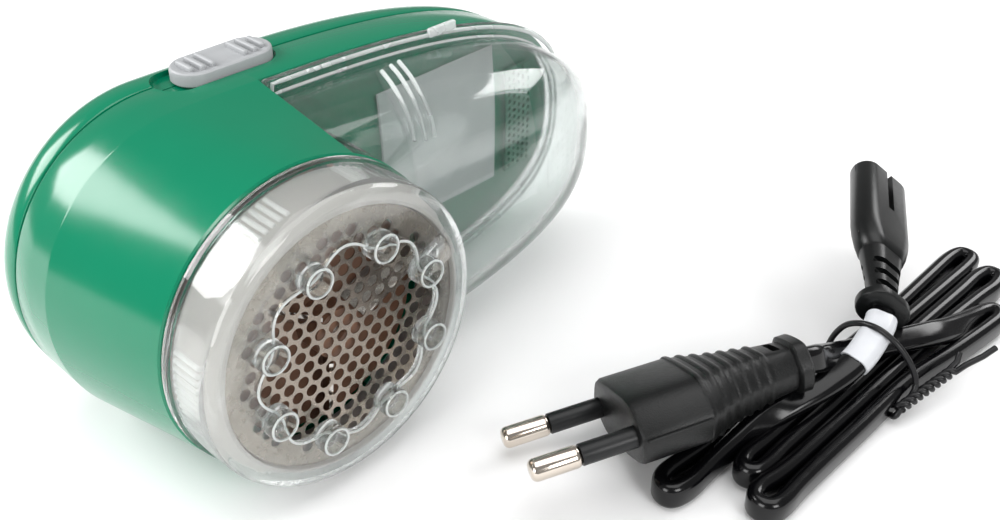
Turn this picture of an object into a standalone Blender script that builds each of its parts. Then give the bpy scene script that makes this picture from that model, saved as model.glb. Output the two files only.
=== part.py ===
"""Fabric shaver lying on its side, with its detached mains lead in front of it.

Every size below is in millimetres, and each finished mesh is scaled to metres. The shaver is modelled in its
own axes: x from the head towards the tail, y across, z out of the shaving face, with z = 0 at the seam.
"""

import math

import bmesh
import bpy
from mathutils import Matrix, Vector

# Body outline, seen along the head axis
NOSE_X = -3.0
NOSE_R = 30.4
TAIL_X = 89.0
TAIL_POWER = 2.9
OUTLINE_POINTS = 56
WALL = 2.0
GAP = 0.3

# Heights along the head axis
FLOOR_Z = 10.5
BARREL_Z = 36.0
BARREL_R = 28.4
COVER_DEPTH = 15.5
COVER_TAIL_DEPTH = 11.5
COVER_FULLNESS = 0.7
SPINE_X = 28.0

# Lint container
BOX_TAIL_X = 91.0
BOX_TOP_Z = 34.8
BOX_WALL = 1.6
BOX_FRONT_X = 12.6
BOX_FLANGE = 2.6
BOX_FLANGE_THICK = 1.4
BOX_FULLNESS = 0.6

# Shaving head
FOIL_Z = 45.4
FOIL_R = 23.7
FOIL_THICK = 0.4
HOLE_R = 1.1
HOLE_PITCH = 3.15
HOLE_RINGS = 6
RING_R = 26.4
CAP_R = 28.2
CAP_FRONT_Z = 46.8
CAP_OPENING_R = 16.6
POST_COUNT = 8
POST_CIRCLE_R = 17.4
POST_R = 2.7
POST_TOP_Z = 50.2

# Drive
SHAFT_R = 1.15
MOTOR_R = 12.0
MOTOR_BACK_Z = -9.0
MOTOR_FRONT_Z = 20.0
PLATE_Z = 22.4
FAN_Z = 27.6
CARRIER_Z = 37.0
BLADE_COUNT = 3

# Slide switch
SWITCH_X = 12.2
SWITCH_LENGTH = 20.0
SWITCH_WIDTH = 9.6
SWITCH_TRAVEL = 3.5
SWITCH_Z = 0.4
POCKET_Y = 29.1

# Mains inlet and its plug-in connector
INLET_WIDTH = 15.6
INLET_HEIGHT = 7.4
INLET_Z = -0.6
INLET_FACE_X = 86.6
INLET_PIN_SPACING = 8.6

# Europlug
PIN_R = 2.0
PIN_LENGTH = 19.0
SLEEVE_LENGTH = 10.0
PIN_SPACING = 18.6
PLUG_HALF_WIDTH = 13.6
PLUG_HALF_THICK = 6.3

# Cord, flat
CORD_R = 1.5

# The shaver's origin stands under the middle of its box, on the surface it lies on.
SHAVER_PLACE = (-28.8, 17.3, NOSE_R)

# Places of the lead's pieces, in millimetres
PLUG_FACE = (4.6, -60.2, 10.2)
PLUG_TURN = (math.radians(-25), math.radians(-7.0), math.radians(-27.4))
CONNECTOR_BACK = (62.0, -79.4, 13.2)
CONNECTOR_TURN = (math.radians(38), math.radians(-5), math.radians(31))
CONNECTOR_LENGTH = 45.0
HANK_X = (3.0, 107.0)
HANK_Y = (-90.8, -72.6)
HANK_Z = (1.5, 7.4)
PLUG_CORD = ((37.3, -77.2, 14.8), (41.5, -79.2, 14.4), (46.5, -80.7, 12.2), (51, -81.4, 9.4))
CONNECTOR_CORD = ((61.7, -79.6, 13.2), (50.0, -86.6, 12.1), (45.0, -88.0, 10.4), (40.0, -88.0, 9.2))
LABEL_SPAN = (0.16, 0.82)
TIE_X = 56.5
TIE_R = 0.45


def srgb(code):
    """A linear colour from six sRGB hex digits."""
    channels = [int(code[i : i + 2], 16) / 255 for i in (0, 2, 4)]
    return [c / 12.92 if c <= 0.04045 else ((c + 0.055) / 1.055) ** 2.4 for c in channels] + [1.0]


def material(name, code, roughness, metallic=0.0, transmission=0.0):
    made = bpy.data.materials.new(name)
    made.use_nodes = True
    shader = made.node_tree.nodes["Principled BSDF"]
    shader.inputs["Base Color"].default_value = srgb(code)
    shader.inputs["Roughness"].default_value = roughness
    shader.inputs["Metallic"].default_value = metallic
    shader.inputs["Transmission Weight"].default_value = transmission
    made.diffuse_color = srgb(code)
    return made


def new_collection(name):
    made = bpy.data.collections.new(name)
    bpy.context.scene.collection.children.link(made)
    return made


def empty(name, collection, place, turn, parent=None):
    made = bpy.data.objects.new(name, None)
    made.location = [v * 0.001 for v in place]
    made.rotation_euler = turn
    made.parent = parent
    collection.objects.link(made)
    return made


def to_object(name, bm, finish, parent, collection, smooth=35):
    """Closes a bmesh in millimetres into an object in metres."""
    bmesh.ops.recalc_face_normals(bm, faces=bm.faces)
    bmesh.ops.scale(bm, vec=(0.001, 0.001, 0.001), verts=bm.verts)
    mesh = bpy.data.meshes.new(name)
    bm.to_mesh(mesh)
    bm.free()
    mesh.shade_smooth()
    mesh.set_sharp_from_angle(angle=math.radians(smooth))
    if finish:
        mesh.materials.append(finish)
    made = bpy.data.objects.new(name, mesh)
    made.parent = parent
    collection.objects.link(made)
    return made


def form(name, bm, parent):
    """A cutter or a joined shape: it is left out of renders and of the finished pieces."""
    made = to_object(name, bm, None, parent, cutters)
    made.hide_render = True
    made.display_type = "WIRE"
    return made


def combine(target, other, operation="DIFFERENCE"):
    step = target.modifiers.new(other.name, "BOOLEAN")
    step.operation = operation
    step.solver = "EXACT"
    step.object = other
    return target


def bevel(target, width, segments=2, angle=40):
    step = target.modifiers.new("rounded edges", "BEVEL")
    step.width = width * 0.001
    step.segments = segments
    step.limit_method = "ANGLE"
    step.angle_limit = math.radians(angle)
    return target


def box(low, high):
    bm = bmesh.new()
    bmesh.ops.create_cube(bm, size=1)
    size = [b - a for a, b in zip(low, high)]
    middle = [(a + b) / 2 for a, b in zip(low, high)]
    bmesh.ops.scale(bm, vec=size, verts=bm.verts)
    bmesh.ops.translate(bm, vec=middle, verts=bm.verts)
    return bm


def rod(radius, start, end, segments=24, end_radius=None, middle=(0.0, 0.0)):
    """A cylinder or cone along z from start to end."""
    bm = bmesh.new()
    bmesh.ops.create_cone(
        bm,
        cap_ends=True,
        segments=segments,
        radius1=radius,
        radius2=radius if end_radius is None else end_radius,
        depth=end - start,
    )
    bmesh.ops.translate(bm, vec=(middle[0], middle[1], (start + end) / 2), verts=bm.verts)
    return bm


def loft(rings):
    """A closed solid through rings of equal counts, with a flat face at each end."""
    bm = bmesh.new()
    loops = [[bm.verts.new(point) for point in ring] for ring in rings]
    for first, second in zip(loops, loops[1:]):
        for i in range(len(first)):
            j = (i + 1) % len(first)
            bm.faces.new((first[i], first[j], second[j], second[i]))
    bm.faces.new(loops[0])
    bm.faces.new(loops[-1])
    bmesh.ops.remove_doubles(bm, verts=bm.verts, dist=0.0001)
    return bm


def turned(profile, segments=48):
    """A closed ring turned about z, from (radius, z) points that go once round its section."""
    bm = bmesh.new()
    points = [bm.verts.new((radius, 0, z)) for radius, z in profile]
    edges = [bm.edges.new((points[i - 1], points[i])) for i in range(len(points))]
    bmesh.ops.spin(
        bm,
        geom=points + edges,
        cent=(0, 0, 0),
        axis=(0, 0, 1),
        angle=math.tau,
        steps=segments,
        use_merge=True,
    )
    bmesh.ops.remove_doubles(bm, verts=bm.verts, dist=0.0001)
    return bm


def outline(inset=0.0, tail=TAIL_X):
    """The body seen along the head axis: a round nose and a squared-off elliptical tail."""
    points = []
    for i in range(OUTLINE_POINTS):
        turn = math.tau * i / OUTLINE_POINTS
        along, across = math.cos(turn), math.sin(turn)
        half = NOSE_R - inset
        if along < 0:
            points.append((NOSE_X + half * along, half * across))
            continue
        reach = tail - inset - NOSE_X
        x = NOSE_X + reach * along ** (2 / TAIL_POWER)
        y = math.copysign(half * abs(across) ** (2 / TAIL_POWER), across)
        points.append((x, y))
    return points


def shell_rings(inset, tail, rim_z, depth_at, fullness, steps=9):
    """Rings of a bowl from its rim to nearly its middle. depth_at gives its signed depth at x."""
    rings = []
    for step in range(steps):
        turn = math.radians(84) * step / (steps - 1)
        spread = math.cos(turn) ** fullness
        sink = math.sin(turn) ** fullness
        ring = []
        for x, y in outline(inset, tail):
            x = SPINE_X + (x - SPINE_X) * spread
            ring.append((x, y * spread, rim_z + depth_at(x) * sink))
        rings.append(ring)
    return rings


def barrel_rings(inset, levels):
    """The barrel's outside, from the body's outline at the handle to a circle at the face."""
    rings = []
    for z in levels:
        blend = min(max((z - FLOOR_Z) / (BARREL_Z - FLOOR_Z), 0), 1)
        ring = []
        for i in range(OUTLINE_POINTS):
            turn = math.tau * i / OUTLINE_POINTS
            along, across = math.cos(turn), math.sin(turn)
            face = (BARREL_R - inset) * Vector((along, across))
            if along < -1e-6:
                top = Vector((NOSE_X + (NOSE_R - inset) * along, (NOSE_R - inset) * across))
            else:
                rear = max(0.0, min(1.0, (along - 0.38) / 0.3))
                side = min(NOSE_R / max(abs(across), 0.5), 33.0)
                top = (side * (1 - rear) + (BARREL_R + 1.0) * rear - inset) * Vector((along, across))
            ring.append((*top.lerp(face, blend), z))
        rings.append(ring)
    return rings


def body_rings(inset, low, floor, levels):
    """The handle's slab and the barrel below it, as one run of rings."""
    slab = [[(x, y, z) for x, y in outline(inset)] for z in (low, floor)]
    return slab + barrel_rings(inset, (floor, *levels))


def cover_depth(x):
    fall = max(0.0, (x - 30) / (TAIL_X - 30)) ** 1.6
    return -(COVER_DEPTH - (COVER_DEPTH - COVER_TAIL_DEPTH) * fall)


def switch_cutters():
    """The pocket that the slide cap runs in, and the slot for its stem."""
    low = SWITCH_X - SWITCH_LENGTH / 2 - SWITCH_TRAVEL - 0.5
    high = SWITCH_X + SWITCH_LENGTH / 2 + 0.5
    half = SWITCH_WIDTH / 2 + 0.45
    pocket = box((low, POCKET_Y, SWITCH_Z - half), (high, 36, SWITCH_Z + half))
    slot = box((SWITCH_X - 3 - SWITCH_TRAVEL, 24, -1.9), (SWITCH_X + 3, 30, 2.3))
    return form("switch_pocket", pocket, shaver), form("switch_slot", slot, shaver)


def make_housing():
    outside = body_rings(0, GAP / 2, FLOOR_Z, (16, 22, 28, BARREL_Z))
    body = to_object("main_body", loft(outside), green, shaver, parts)
    inside = body_rings(WALL, -1, FLOOR_Z - WALL, (16, 22, 28, 38))
    combine(body, form("body_hollow", loft(inside), shaver))
    combine(body, form("lint_duct", box((15, -12, 26.5), (40, 12, 34.2)), shaver))
    pocket, slot = switch_cutters()
    reach, rise = INLET_WIDTH / 2 + 1.1, INLET_HEIGHT / 2 + 0.9
    hole = box((81, -reach, INLET_Z - rise), (95, reach, INLET_Z + rise))
    inlet = form("inlet_opening", hole, shaver)

    outer = shell_rings(0, TAIL_X, -GAP / 2, cover_depth, COVER_FULLNESS)
    inner = shell_rings(WALL, TAIL_X, -GAP / 2, lambda x: cover_depth(x) + WALL, COVER_FULLNESS)
    cover = to_object("top_cover", loft(outer[::-1] + inner), green, shaver, parts)
    for piece in (body, cover):
        combine(piece, pocket)
        combine(piece, slot)
        combine(piece, inlet)


def make_container():
    rim = FLOOR_Z + GAP
    top = rim + BOX_FLANGE_THICK
    flange = [[(x, y, z) for x, y in outline(0, BOX_TAIL_X)] for z in (rim, top)]
    depth, inset = BOX_TOP_Z - top, BOX_FLANGE + BOX_WALL
    outer = shell_rings(BOX_FLANGE, BOX_TAIL_X, top, lambda x: depth, BOX_FULLNESS)
    inner = shell_rings(inset, BOX_TAIL_X, rim, lambda x: BOX_TOP_Z - BOX_WALL - rim, BOX_FULLNESS)
    outer = flange + outer
    container = to_object("lint_container", loft(outer[::-1] + inner), clear, shaver, parts)
    around = loft(barrel_rings(-GAP, (FLOOR_Z - 1, 16, 22, 28, 40)))
    combine(container, form("barrel_clearance", around, shaver))
    ahead = form("container_front", box((-40, -40, 0), (BOX_FRONT_X, 40, 40)), shaver)
    combine(container, ahead)


def make_switch():
    half = SWITCH_LENGTH / 2 - SWITCH_WIDTH / 2
    bm = bmesh.new()
    bmesh.ops.create_cone(
        bm, cap_ends=True, segments=24, radius1=SWITCH_WIDTH / 2, radius2=SWITCH_WIDTH / 2 - 0.8, depth=2.6
    )
    for vert in bm.verts:
        vert.co.x += math.copysign(half, vert.co.x + 1e-6)
    bmesh.ops.transform(bm, matrix=Matrix.Rotation(math.radians(-90), 4, "X"), verts=bm.verts)
    bmesh.ops.translate(bm, vec=(SWITCH_X, POCKET_Y + GAP + 1.3, SWITCH_Z), verts=bm.verts)
    cap = to_object("switch_cap", bm, grey, shaver, parts)
    top = POCKET_Y + GAP + 2.4
    for side in (-1, 1):
        for step in range(3):
            x = SWITCH_X + side * (3.6 + 2.0 * step)
            rib = box((x - 0.45, top - 0.6, SWITCH_Z - 3.4), (x + 0.45, top + 1.0, SWITCH_Z + 3.4))
            combine(cap, form(f"switch_rib_{side}_{step}", rib, shaver), "UNION")
    stem = box((SWITCH_X - 2.4, 24.4, -1.4), (SWITCH_X + 2.4, POCKET_Y + 1, 1.8))
    combine(cap, form("switch_stem", stem, shaver), "UNION")
    block = box((SWITCH_X - 7, 15.8, -3.4), (SWITCH_X + 4, 23.6, 3.6))
    bevel(to_object("switch_block", block, dark, shaver, parts), 0.4, 1)


def make_head():
    ring = [
        (RING_R, 36.9),
        (RING_R, 44.6),
        (RING_R - 1.0, 46.4),
        (FOIL_R + GAP, 46.4),
        (FOIL_R + GAP, FOIL_Z - GAP),
        (FOIL_R - 1.3, FOIL_Z - GAP),
        (FOIL_R - 1.3, 43.4),
        (24.0, 42.4),
        (24.0, 36.9),
    ]
    to_object("locking_ring", turned(ring), white, shaver, parts)

    foil = to_object("foil", rod(FOIL_R, FOIL_Z, FOIL_Z + FOIL_THICK, 48), steel, shaver, parts)
    holes = bmesh.new()
    for row in range(-HOLE_RINGS, HOLE_RINGS + 1):
        count = 2 * HOLE_RINGS + 1 - abs(row)
        for step in range(count):
            x = (step - (count - 1) / 2) * HOLE_PITCH
            y = row * HOLE_PITCH * math.sqrt(3) / 2
            place = Matrix.Translation((x, y, FOIL_Z + FOIL_THICK / 2))
            bmesh.ops.create_cone(
                holes, cap_ends=True, segments=6, radius1=HOLE_R, radius2=HOLE_R, depth=1.2, matrix=place
            )
    combine(foil, form("foil_holes", holes, shaver))

    wall = [
        (CAP_R, 36.3),
        (CAP_R, 38.2),
        (CAP_R - 0.3, 46.4),
        (CAP_R - 1.6, 48.0),
        (CAP_OPENING_R, 48.0),
        (CAP_OPENING_R, CAP_FRONT_Z),
        (RING_R + GAP, CAP_FRONT_Z),
        (RING_R + GAP, 36.3),
    ]
    cap = to_object("guard_cap", turned(wall), clear, shaver, parts)
    for step in range(POST_COUNT):
        turn = math.tau * (step + 0.5) / POST_COUNT
        middle = (POST_CIRCLE_R * math.cos(turn), POST_CIRCLE_R * math.sin(turn))
        post = rod(POST_R, CAP_FRONT_Z + 0.2, POST_TOP_Z, 16, middle=middle)
        combine(cap, form(f"guard_post_{step + 1}", post, shaver), "UNION")


def make_drive():
    can = rod(MOTOR_R, MOTOR_BACK_Z + 4, MOTOR_FRONT_Z, 32)
    bevel(to_object("motor_can", can, steel, shaver, parts), 1.0)
    bell = rod(MOTOR_R - 0.6, MOTOR_BACK_Z, MOTOR_BACK_Z + 4 - GAP, 32)
    to_object("motor_end_bell", bell, white, shaver, parts)
    to_object("motor_shaft", rod(SHAFT_R, MOTOR_FRONT_Z + GAP, 43.6, 12), steel, shaver, parts)

    plate = to_object("motor_plate", rod(25.6, PLATE_Z, PLATE_Z + 2, 48), white, shaver, parts)
    combine(plate, form("shaft_hole", rod(3.4, PLATE_Z - 2, PLATE_Z + 4, 16), shaver))
    for name, reach, turn in (
        ("motor_screw_1", 8.5, 0.0),
        ("motor_screw_2", 8.5, 180.0),
        ("plate_screw_1", 21.5, 50.0),
        ("plate_screw_2", 21.5, 170.0),
        ("plate_screw_3", 21.5, 290.0),
    ):
        across = math.radians(turn)
        middle = (reach * math.cos(across), reach * math.sin(across))
        screw = rod(2.3, PLATE_Z + 2 + GAP, PLATE_Z + 3.6, 12, end_radius=1.9, middle=middle)
        head = to_object(name, screw, steel, shaver, parts)
        shank = rod(1.1, PLATE_Z - 1.9, PLATE_Z + 2.6, 10, middle=middle)
        combine(head, form(f"{name}_shank", shank, shaver), "UNION")
        hole = rod(1.1 + GAP, PLATE_Z - 3, PLATE_Z + 4, 10, middle=middle)
        combine(plate, form(f"{name}_hole", hole, shaver))

    fan = to_object("fan_wheel", rod(21.5, FAN_Z, FAN_Z + 1.2, 40), white, shaver, parts)
    combine(fan, form("fan_hub", rod(4.2, FAN_Z - 1.4, FAN_Z + 6.8, 16), shaver), "UNION")
    for step in range(8):
        vane = box((3.5, -0.5, FAN_Z + 0.8), (20.8, 0.5, FAN_Z + 6.2))
        turn = Matrix.Rotation(math.tau * step / 8, 4, "Z")
        bmesh.ops.transform(vane, matrix=turn, verts=vane.verts)
        combine(fan, form(f"fan_vane_{step + 1}", vane, shaver), "UNION")
    bore = form("shaft_bore", rod(SHAFT_R + GAP, FAN_Z - 5, 50, 12), shaver)
    combine(fan, bore)

    carrier = to_object("blade_carrier", rod(20.5, CARRIER_Z, CARRIER_Z + 1.8, 40), white, shaver, parts)
    combine(carrier, form("carrier_hub", rod(4.6, CARRIER_Z - 1.6, 44.2, 16), shaver), "UNION")
    combine(carrier, bore)
    for step in range(BLADE_COUNT):
        blade = box((5.2, -0.35, CARRIER_Z + 2.2), (20.4, 0.35, FOIL_Z - GAP))
        turn = Matrix.Rotation(math.tau * (step + 0.2) / BLADE_COUNT, 4, "Z")
        lean = Matrix.Rotation(math.radians(28), 4, "X")
        middle = Matrix.Translation((0, 0, (CARRIER_Z + FOIL_Z) / 2))
        bmesh.ops.transform(blade, matrix=turn @ middle @ lean @ middle.inverted(), verts=blade.verts)
        to_object(f"blade_{step + 1}", blade, steel, shaver, parts)


def make_handle_inside():
    for name, y in (("cell_1", -5.4), ("cell_2", 5.4)):
        cell = rod(5.0, 15, 57, 20)
        turn = Matrix.Rotation(math.radians(90), 4, "Y")
        bmesh.ops.transform(cell, matrix=Matrix.Translation((0, y, -4.4)) @ turn, verts=cell.verts)
        to_object(name, cell, steel, shaver, parts)
    strap = box((34.5, -11.4, 0.9), (38.5, 11.4, 1.3))
    to_object("cell_strap", strap, steel, shaver, parts)
    board = box((28.5, -13, 1.7), (72, 13, 3.3))
    to_object("charging_board", board, circuit, shaver, parts)
    width, height = INLET_WIDTH / 2, INLET_HEIGHT / 2
    low = (75, -width - 0.8, INLET_Z - height - 0.6)
    socket = box(low, (INLET_FACE_X, width + 0.8, INLET_Z + height + 0.6))
    inlet = bevel(to_object("inlet_socket", socket, dark, shaver, parts), 0.5, 1)
    mouth = box((77, -width, INLET_Z - height), (90, width, INLET_Z + height))
    combine(inlet, form("inlet_mouth", mouth, shaver))
    for name, side in (("inlet_pin_1", -1), ("inlet_pin_2", 1)):
        pin = rod(1.2, 77 + GAP, 84.5, 12)
        turn = Matrix.Rotation(math.radians(90), 4, "Y")
        shift = Matrix.Translation((0, side * INLET_PIN_SPACING / 2, INLET_Z))
        bmesh.ops.transform(pin, matrix=shift @ turn, verts=pin.verts)
        to_object(name, pin, steel, shaver, parts)


def make_floor_fittings():
    plate = box((38, -12, FLOOR_Z + GAP), (70, 18, FLOOR_Z + 0.8))
    bevel(to_object("rating_plate", plate, label, shaver, parts), 0.3, 1)
    grille = to_object(
        "exhaust_grille", box((73, -12, FLOOR_Z + GAP), (81, 12, FLOOR_Z + 1.4)), green, shaver, parts
    )
    for step in range(6):
        y = -9.5 + 3.8 * step
        slot = box((74.4, y - 0.9, FLOOR_Z - 1), (79.6, y + 0.9, FLOOR_Z + 3))
        combine(grille, form(f"grille_slot_{step + 1}", slot, shaver))


def plug_ring(x, half_width, half_thick):
    """A flat hexagon with a pointed edge each side."""
    shoulder = half_width * 0.66
    return [
        (x, half_width, 0),
        (x, shoulder, half_thick),
        (x, -shoulder, half_thick),
        (x, -half_width, 0),
        (x, -shoulder, -half_thick),
        (x, shoulder, -half_thick),
    ]


def make_plug():
    axes = empty("plug_axes", parts, PLUG_FACE, PLUG_TURN)
    sections = (
        (0, PLUG_HALF_WIDTH, PLUG_HALF_THICK),
        (13, PLUG_HALF_WIDTH - 0.4, PLUG_HALF_THICK),
        (20, 8.8, 5.4),
        (27, 6.4, 4.6),
        (33.6, 5.2, 4.1),
        (33.8, 6.2, 4.9),
        (36, 6.2, 4.9),
    )
    body = loft([plug_ring(*section) for section in sections])
    bevel(to_object("plug_body", body, black, axes, parts), 0.7, 2, 25)
    along = Matrix.Rotation(math.radians(-90), 4, "Y")
    for number, side in ((1, 1), (2, -1)):
        shift = Matrix.Translation((0, side * PIN_SPACING / 2, 0))
        sleeve = rod(PIN_R - 0.1, GAP, SLEEVE_LENGTH, 16)
        bmesh.ops.transform(sleeve, matrix=shift @ along, verts=sleeve.verts)
        to_object(f"pin_sleeve_{number}", sleeve, black, axes, parts)
        pin = rod(PIN_R, SLEEVE_LENGTH + GAP, PIN_LENGTH, 16)
        bmesh.ops.transform(pin, matrix=shift @ along, verts=pin.verts)
        bevel(to_object(f"plug_pin_{number}", pin, nickel, axes, parts), 0.6, 2)


def eight_ring(x, half_width, half_thick):
    """A stadium section of the figure-of-eight connector."""
    points = []
    for i in range(20):
        turn = math.tau * i / 20
        y = half_thick * math.cos(turn) + math.copysign(half_width - half_thick, math.cos(turn) + 1e-9)
        points.append((x, y, half_thick * math.sin(turn)))
    return points


def make_connector():
    axes = empty("connector_axes", parts, CONNECTOR_BACK, CONNECTOR_TURN)
    front = CONNECTOR_LENGTH
    sections = ((17.5, 5.2, 3.3), (22, 6.6, 3.6), (27, 7.0, 3.6), (front, 7.0, 3.5))
    front_half = loft([eight_ring(*section) for section in sections])
    solid = to_object("connector_body", front_half, black, axes, parts)
    level = Matrix.Rotation(math.radians(90), 4, "Y")
    for side in (-1, 1):
        waist = rod(1.7, -9, 11, 12)
        place = Matrix.Translation((front - 8, 0, side * 4.3)) @ level
        bmesh.ops.transform(waist, matrix=place, verts=waist.verts)
        combine(solid, form(f"connector_waist_{side}", waist, axes))
        bore = rod(1.5, -9, 11, 12)
        place = Matrix.Translation((front - 8, side * INLET_PIN_SPACING / 2, 0)) @ level
        bmesh.ops.transform(bore, matrix=place, verts=bore.verts)
        combine(solid, form(f"connector_bore_{side}", bore, axes))
    sections = ((0, 5.6, 4.2), (2.4, 5.6, 4.2), (2.6, 3.0, 2.3), (17.2, 4.8, 3.1))
    back_half = loft([eight_ring(*section) for section in sections])
    to_object("connector_relief", back_half, black, axes, parts)


def tube(name, route, radius):
    """A cord along a smooth curve through the route's points, as one closed solid."""
    guide = bpy.data.curves.new(name, "CURVE")
    guide.dimensions = "3D"
    guide.resolution_u = 1
    spline = guide.splines.new("POLY")
    points = smooth_route(route)
    spline.points.add(len(points) - 1)
    for point, place in zip(spline.points, points):
        point.co = (*(v * 0.001 for v in place), 1)
    guide.bevel_depth = radius * 0.001
    guide.bevel_resolution = 2
    guide.use_fill_caps = True
    guide.materials.append(black)
    made = bpy.data.objects.new(name, guide)
    parts.objects.link(made)
    return made


def smooth_route(route, per_span=4):
    """Points on a smooth curve that passes through every point of the route."""
    ends = [Vector(p) for p in route]
    padded = [2 * ends[0] - ends[1], *ends, 2 * ends[-1] - ends[-2]]
    points = []
    for a, b, c, d in zip(padded, padded[1:], padded[2:], padded[3:]):
        for step in range(per_span):
            t = step / per_span
            curve = 2 * b + (c - a) * t + (2 * a - 5 * b + 4 * c - d) * t * t
            points.append((curve + (3 * b - a - 3 * c + d) * t**3) * 0.5)
    return [*points, ends[-1]]


def make_cord():
    low_x, high_x = HANK_X
    low_y, high_y = HANK_Y
    half = (high_y - low_y) / 2
    ring = []
    for i in range(24):
        turn = math.tau * i / 24
        shift = high_x - half if math.cos(turn) > -1e-9 else low_x + half
        ring.append((shift + half * math.cos(turn), (low_y + high_y) / 2 + half * math.sin(turn)))
    rings = [[(x, y, z) for x, y in ring] for z in HANK_Z]
    bevel(to_object("cord_hank", loft(rings), black, None, parts), 1.5, 2)
    tube("plug_cord", PLUG_CORD, CORD_R)
    tube("connector_cord", CONNECTOR_CORD, CORD_R)

    start, end = Vector(CONNECTOR_CORD[0]), Vector(CONNECTOR_CORD[1])
    run = end - start
    low, high = (run.length * share for share in LABEL_SPAN)
    sleeve = turned([(2.5, low), (2.5, high), (1.9, high), (1.9, low)], 20)
    place = Matrix.Translation(start) @ run.to_track_quat("Z", "Y").to_matrix().to_4x4()
    bmesh.ops.transform(sleeve, matrix=place, verts=sleeve.verts)
    to_object("cord_label", sleeve, white, None, parts)

    middle, low_z, high_z = (low_y + high_y) / 2, 0.75, HANK_Z[1] + 0.95
    section = (
        (low_y - 1.3, 3.0),
        (low_y + 0.6, low_z),
        (middle, low_z),
        (high_y - 0.6, low_z),
        (high_y + 1.4, (low_z + high_z) / 2),
        (high_y - 0.6, high_z),
        (middle, high_z),
        (low_y + 0.6, high_z),
        (low_y - 1.3, 6.4),
    )
    loop = [(TIE_X + 0.3 * i - 1.2, y, z) for i, (y, z) in enumerate(section)]
    near = low_y - 1.6
    tail_1 = [(TIE_X + 20, near - 3.0, 5.2), (TIE_X + 10, near - 1.6, 3.6), (TIE_X + 1, near - 0.4, 2.6)]
    tail_2 = [(TIE_X + 5, near - 0.4, 6.0), (TIE_X + 12, near - 1.6, 6.2), (TIE_X + 22, near - 3.4, 7.4)]
    tube("wire_tie", tail_1 + loop + tail_2, TIE_R)


bpy.ops.object.select_all(action="DESELECT")
for old in list(bpy.data.objects):
    bpy.data.objects.remove(old, do_unlink=True)

parts = new_collection("fabric_shaver")
cutters = new_collection("cutters")
green = material("green ABS", "00875F", 0.22)
white = material("white ABS", "E8E9E6", 0.4)
grey = material("grey ABS", "D2D4D3", 0.45)
clear = material("clear polystyrene", "E9EFEE", 0.08, transmission=0.9)
steel = material("stainless steel", "A9A6A0", 0.28, metallic=1.0)
nickel = material("nickel plate", "C4BFB6", 0.18, metallic=1.0)
black = material("black PVC", "141415", 0.42)
dark = material("black nylon", "1D1D1F", 0.5)
circuit = material("circuit board", "2F6A3A", 0.5)
label = material("printed label", "B9BBB8", 0.6)

shaver = empty("shaver_axes", parts, SHAVER_PLACE, (math.radians(90), 0, 0))
make_housing()
make_container()
make_switch()
make_head()
make_drive()
make_handle_inside()
make_floor_fittings()
make_plug()
make_connector()
make_cord()
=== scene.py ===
"""Looks of a fabric shaver lying on its side, with its detached mains lead in front of it.

The shaver's pieces are drawn in its own axes, in millimetres: x from the head to the tail, y across, and z out
of the shaving face with 0 at the seam. SHAVER takes them to the frame. The lead is drawn in the frame's own
axes, in millimetres, and LEAD takes it to metres.
"""
import math

import bmesh
import bpy
from mathutils import Euler, Matrix, Vector


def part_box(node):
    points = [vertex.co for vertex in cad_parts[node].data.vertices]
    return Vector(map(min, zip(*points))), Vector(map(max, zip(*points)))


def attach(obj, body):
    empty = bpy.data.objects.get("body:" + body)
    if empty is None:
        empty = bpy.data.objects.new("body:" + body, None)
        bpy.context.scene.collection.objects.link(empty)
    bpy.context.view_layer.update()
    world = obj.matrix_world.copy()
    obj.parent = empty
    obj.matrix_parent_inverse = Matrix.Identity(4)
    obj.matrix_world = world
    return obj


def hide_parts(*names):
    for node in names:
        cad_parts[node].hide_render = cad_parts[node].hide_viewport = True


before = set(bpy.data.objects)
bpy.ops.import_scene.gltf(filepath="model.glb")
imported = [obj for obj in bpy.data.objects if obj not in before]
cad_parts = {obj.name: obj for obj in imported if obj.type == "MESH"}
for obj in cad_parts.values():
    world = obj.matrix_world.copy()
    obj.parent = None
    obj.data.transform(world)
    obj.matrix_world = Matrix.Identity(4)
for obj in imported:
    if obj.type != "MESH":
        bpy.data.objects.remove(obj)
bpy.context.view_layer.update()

MM = 0.001
LEAD = Matrix.Scale(MM, 4)

# The head's axis and the seam, read from the frame
guard_low, guard_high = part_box("guard_cap")
body_low, body_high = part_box("main_body")
HEAD_X = (guard_low.x + guard_high.x) / 2
HEAD_Z = (guard_low.z + guard_high.z) / 2
SEAM_Y = body_high.y + 0.15 * MM
SHAVER = Matrix.Translation((HEAD_X, SEAM_Y, HEAD_Z)) @ Matrix.Rotation(math.radians(90), 4, "X") @ LEAD


def span(node):
    """Lowest and highest corner of a node in the shaver's axes."""
    ends = [SHAVER.inverted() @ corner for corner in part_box(node)]
    return [Vector(map(pick, *ends)) for pick in (min, max)]


BODY, COVER, BOX = span("main_body"), span("top_cover"), span("lint_container")
GUARD, RING, FOIL, SWITCH = span("guard_cap"), span("locking_ring"), span("foil"), span("switch_cap")
PLATE, GRILLE = span("rating_plate"), span("exhaust_grille")

# Body
NOSE_R = BODY[1].y
NOSE_X = BODY[0].x + NOSE_R
TAIL_X = BODY[1].x
TAIL_POWER = 2.9
BARREL_Z = BODY[1].z
BARREL_R = GUARD[1].y + 0.2
FLOOR_Z = GRILLE[0].z - 0.3
WALL = 2.0
SEAM_GAP = 0.15
SPINE_X = 28.0
COVER_DEPTH = -COVER[0].z
COVER_TAIL_DEPTH = 11.5
COVER_FULLNESS = 0.7
RING_POINTS = 132

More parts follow.
